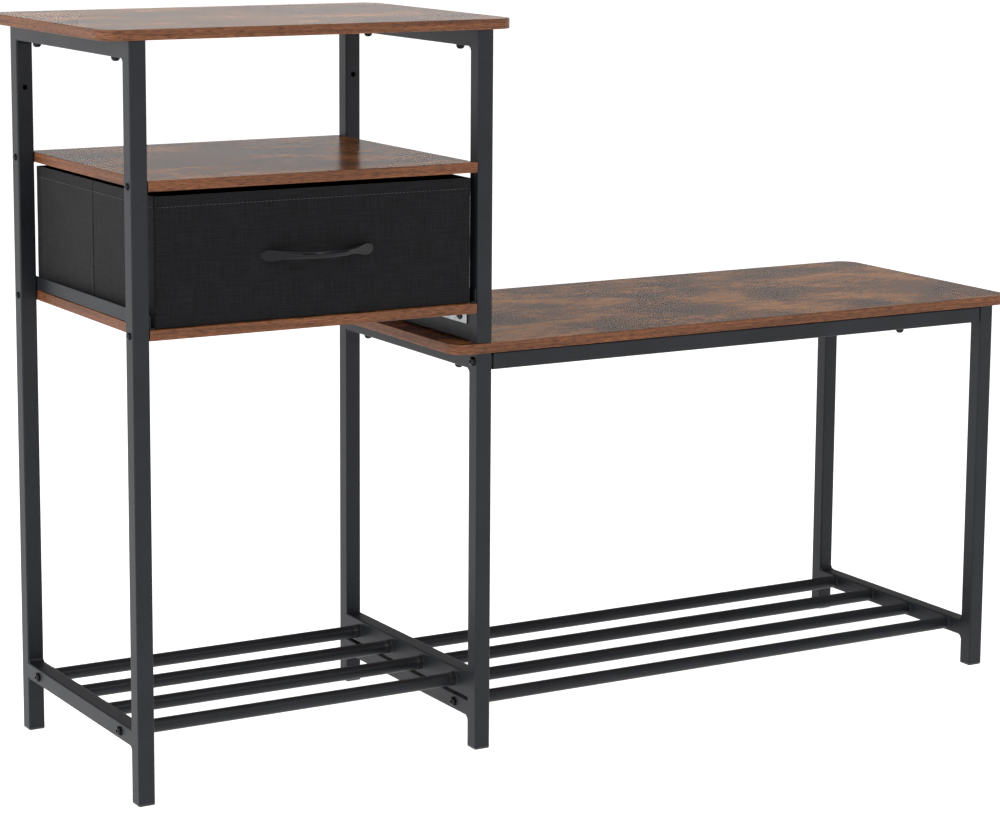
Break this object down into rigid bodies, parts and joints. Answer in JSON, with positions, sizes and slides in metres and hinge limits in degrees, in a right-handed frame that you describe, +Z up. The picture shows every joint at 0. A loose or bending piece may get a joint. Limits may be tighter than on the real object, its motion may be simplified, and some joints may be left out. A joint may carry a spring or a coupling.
{
  "type": "entryway bench",
  "caption": "Long low seat board on a square-tube steel frame, with a shelf tower and a pull-out fabric drawer at its left end and slatted tube shoe racks along the bottom.",
  "frame": {"origin": "centre of the whole bench seen from above, on the floor", "axes": "+X along the bench to the right as seen from the front, -Y towards the front where the drawer pulls out, +Z up"},
  "size_m": [1.26, 0.3752, 0.866],
  "materials": {
    "frame_paint": "matt charcoal powder coat on steel tube",
    "board": "rustic brown woodgrain laminate on particleboard",
    "drawer_fabric": "black linen-look nonwoven fabric",
    "stiffener": "greyboard",
    "black_plastic": "moulded black plastic",
    "zinc_steel": "bright zinc plated pressed steel",
    "black_fixing": "black oxide steel"
  },
  "bodies": {
    "frame": {"apron_left_front_bolt": "black_fixing", "apron_left_rear_bolt": "black_fixing", "apron_right_front_bolt": "black_fixing", "apron_right_rear_bolt": "black_fixing", "bench_rack_left_front_bolt": "black_fixing", "bench_rack_left_rear_bolt": "black_fixing", "bench_rack_right_front_bolt": "black_fixing", "bench_rack_right_rear_bolt": "black_fixing", "bench_rack_tube_1": "frame_paint", "bench_rack_tube_2": "frame_paint", "bench_rack_tube_3": "frame_paint", "bench_rack_tube_4": "frame_paint", "front_apron": "frame_paint", "front_shelf_bracket": "zinc_steel", "left_drawer_guard": "frame_paint", "lower_shelf": "board", "lower_shelf_front_screw": "black_fixing", "lower_shelf_rear_screw": "black_fixing", "middle_front_foot": "black_plastic", "middle_front_leg": "frame_paint", "middle_rack_rail": "frame_paint", "middle_rear_foot": "black_plastic", "middle_rear_leg": "frame_paint", "middle_top_rail": "frame_paint", "rear_apron": "frame_paint", "rear_shelf_bracket": "zinc_steel", "right_drawer_guard": "frame_paint", "right_front_foot": "black_plastic", "right_front_leg": "frame_paint", "right_rack_rail": "frame_paint", "right_rear_foot": "black_plastic", "right_rear_leg": "frame_paint", "right_top_rail": "frame_paint", "seat_board": "board", "tower_base_rail": "frame_paint", "tower_front_foot": "black_plastic", "tower_front_leg": "frame_paint", "tower_front_post": "frame_paint", "tower_left_top_rail": "frame_paint", "tower_rack_end_bar": "frame_paint", "tower_rack_front_bolt": "black_fixing", "tower_rack_rail": "frame_paint", "tower_rack_rear_bolt": "black_fixing", "tower_rack_tube_1": "frame_paint", "tower_rack_tube_2": "frame_paint", "tower_rack_tube_3": "frame_paint", "tower_rack_tube_4": "frame_paint", "tower_rear_foot": "black_plastic", "tower_rear_leg": "frame_paint", "tower_rear_post": "frame_paint", "tower_right_top_rail": "frame_paint", "tower_top_board": "board", "upper_shelf": "board", "upper_shelf_left_front_screw": "black_fixing", "upper_shelf_left_rear_screw": "black_fixing", "upper_shelf_right_front_screw": "black_fixing", "upper_shelf_right_rear_screw": "black_fixing"},
    "drawer": {"drawer_fabric_box": "drawer_fabric", "drawer_base_board": "stiffener", "drawer_handle": "black_plastic"}
  },
  "joints": [
    {"name": "drawer_slide", "type": "slide", "parent": "frame", "child": "drawer", "axis": [0, -1, 0], "range_m": [0, 0.26]}
  ]
}
